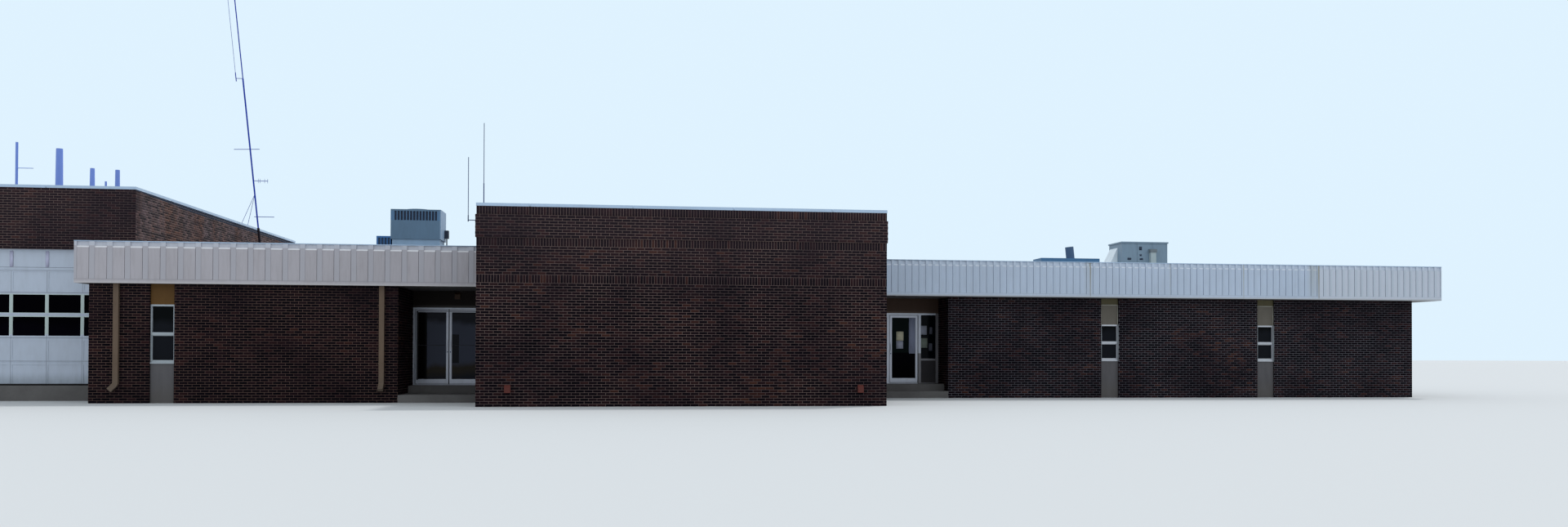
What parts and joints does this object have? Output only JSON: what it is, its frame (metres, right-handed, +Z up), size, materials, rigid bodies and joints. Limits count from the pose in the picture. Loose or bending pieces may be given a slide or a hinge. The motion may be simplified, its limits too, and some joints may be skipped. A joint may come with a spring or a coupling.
{
  "type": "town hall building, 1:2 scale model",
  "caption": "Low brick town hall with a taller centre block, two flat-roofed wings with ribbed metal fascias, recessed glass entries and a fire station hall.",
  "frame": {"origin": "centre of the model's box, on the ground", "axes": "+X along the front to the viewer's right, +Y into the building, +Z up"},
  "size_m": [22.966, 10.056, 6.878],
  "materials": {
    "brick": "dark red-brown brick in pale mortar, running bond with soldier courses",
    "concrete": "weathered concrete",
    "roofing": "flat roof membrane",
    "coping_metal": "pale blue-grey folded metal",
    "left_fascia_metal": "warm grey painted sheet metal",
    "right_fascia_metal": "cool grey painted sheet metal with rust runs",
    "soffit_metal": "painted boards",
    "overhead_white": "white painted sectional door",
    "window_glass": "dark glass",
    "frame_metal": "mill aluminium",
    "lower_panel": "grey painted panel",
    "tan_panel": "tan painted panel",
    "brown_panel": "dark brown panel",
    "pipe_tan": "tan rain pipe",
    "unit_metal": "grey-green painted sheet metal",
    "mast_metal": "galvanised tube"
  },
  "bodies": {
    "building": {"centre_front_wall": "brick", "centre_porch_walls": "brick", "centre_rear_wall": "brick", "centre_roof": "roofing", "centre_upper_walls": "brick", "copings": "coping_metal", "fixed_glass": "window_glass", "floors": "concrete", "left_entry_frame": "frame_metal", "left_fascia_end": "left_fascia_metal", "left_fascia_front": "left_fascia_metal", "left_fascia_rear": "left_fascia_metal", "left_roof_unit": "unit_metal", "left_wing_end_wall": "brick", "left_wing_front_wall": "brick", "left_wing_rear_wall": "brick", "left_wing_roof": "roofing", "lower_panels": "lower_panel", "overhead_door_glass": "window_glass", "overhead_doors": "overhead_white", "porch_walls": "brick", "radio_mast": "mast_metal", "rain_pipes": "pipe_tan", "right_entry_fixed_leaf": "frame_metal", "right_entry_frame": "frame_metal", "right_fascia_end": "right_fascia_metal", "right_fascia_front": "right_fascia_metal", "right_fascia_rear": "right_fascia_metal", "right_roof_unit": "unit_metal", "right_wing_end_wall": "brick", "right_wing_front_wall": "brick", "right_wing_rear_wall": "brick", "right_wing_roof": "roofing", "roof_duct": "unit_metal", "side_roof_box": "unit_metal", "soffits": "soffit_metal", "station_lintel": "brick", "station_piers": "brick", "station_rear_wall": "brick", "station_roof": "roofing", "station_side_walls": "brick", "station_vents": "mast_metal", "transom_panels": "brown_panel", "upper_panels": "tan_panel", "vent_stack": "mast_metal", "wall_fixtures": "pipe_tan", "whip_antennas": "mast_metal", "window_frames": "frame_metal"},
    "left_leaf_a": {"left_entry_leaf_a": "frame_metal", "left_entry_leaf_a_glass": "window_glass"},
    "left_leaf_b": {"left_entry_leaf_b": "frame_metal", "left_entry_leaf_b_glass": "window_glass"},
    "right_leaf": {"right_entry_leaf": "frame_metal", "right_entry_leaf_glass": "window_glass"}
  },
  "joints": [
    {"name": "left_leaf_a_hinge", "type": "hinge", "parent": "building", "child": "left_leaf_a", "pos_m": [-3.752, -2.589, 0.212], "axis": [0, 0, -1], "range_deg": [0, 90]},
    {"name": "left_leaf_b_hinge", "type": "hinge", "parent": "building", "child": "left_leaf_b", "pos_m": [-2.918, -2.589, 0.212], "axis": [0, 0, 1], "range_deg": [0, 90]},
    {"name": "right_leaf_hinge", "type": "hinge", "parent": "building", "child": "right_leaf", "pos_m": [3.448, -1.694, 0.212], "axis": [0, 0, 1], "range_deg": [0, 90]}
  ]
}
